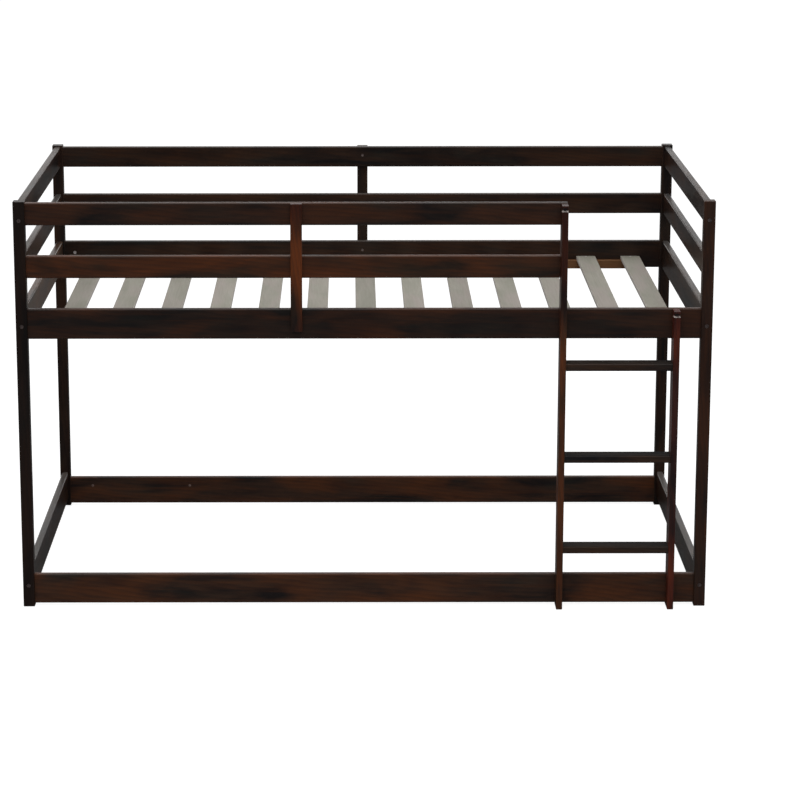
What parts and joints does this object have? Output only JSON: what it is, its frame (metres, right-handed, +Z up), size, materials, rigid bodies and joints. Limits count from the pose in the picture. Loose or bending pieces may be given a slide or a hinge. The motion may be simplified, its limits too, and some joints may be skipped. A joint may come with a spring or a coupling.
{
  "type": "bunk bed with ladder",
  "caption": "Low bunk bed of dark-stained boards: slatted upper deck with guard rails, open floor-level frame below, front ladder.",
  "frame": {"origin": "on the floor at the centre of the whole object's footprint, ladder and back guard support included", "axes": "+X along the bed from the left end to the right end as seen from the ladder side, +Y from the ladder side to the back, +Z up"},
  "size_m": [1.99, 1.103, 1.2],
  "materials": {
    "espresso_wood": "espresso stain under satin lacquer",
    "slat_wood": "planed bare softwood, greyed",
    "ledger_wood": "planed bare wood with a thin brown stain",
    "dark_steel": "bronze-black oxide",
    "zinc_steel": "bright zinc plate",
    "dowel_wood": "plain turned beech"
  },
  "bodies": {
    "root": {"post_front_left": "espresso_wood", "post_front_right": "espresso_wood", "post_back_left": "espresso_wood", "post_back_right": "espresso_wood", "end_rail_left_top": "espresso_wood", "end_rail_left_middle": "espresso_wood", "end_rail_left_bed": "espresso_wood", "end_rail_left_floor": "espresso_wood", "end_rail_right_top": "espresso_wood", "end_rail_right_middle": "espresso_wood", "end_rail_right_bed": "espresso_wood", "end_rail_right_floor": "espresso_wood", "guard_rail_front_top": "espresso_wood", "guard_rail_front_middle": "espresso_wood", "side_rail_front": "espresso_wood", "floor_rail_front": "espresso_wood", "guard_rail_back_top": "espresso_wood", "guard_rail_back_middle": "espresso_wood", "side_rail_back": "espresso_wood", "floor_rail_back": "espresso_wood", "guard_support_front": "espresso_wood", "guard_support_back": "espresso_wood", "ladder_stile_left": "espresso_wood", "ladder_stile_right": "espresso_wood", "ladder_rung_bottom": "espresso_wood", "ladder_rung_middle": "espresso_wood", "ladder_rung_top": "espresso_wood", "slat_01": "slat_wood", "slat_02": "slat_wood", "slat_03": "slat_wood", "slat_04": "slat_wood", "slat_05": "slat_wood", "slat_06": "slat_wood", "slat_07": "slat_wood", "slat_08": "slat_wood", "slat_09": "slat_wood", "slat_10": "slat_wood", "slat_11": "slat_wood", "slat_12": "slat_wood", "slat_13": "slat_wood", "slat_ledger_front": "ledger_wood", "slat_ledger_back": "ledger_wood", "end_rail_bolts": "dark_steel", "long_rail_bolts": "dark_steel", "support_screws": "dark_steel", "ladder_bolts": "dark_steel", "ladder_screws": "dark_steel", "rung_screws": "dark_steel", "end_rail_barrel_nuts": "zinc_steel", "long_rail_barrel_nuts": "zinc_steel", "ladder_inserts": "zinc_steel", "ledger_screws": "zinc_steel", "slat_screws": "zinc_steel", "rail_dowels": "dowel_wood", "rung_dowels": "dowel_wood"}
  },
  "joints": []
}
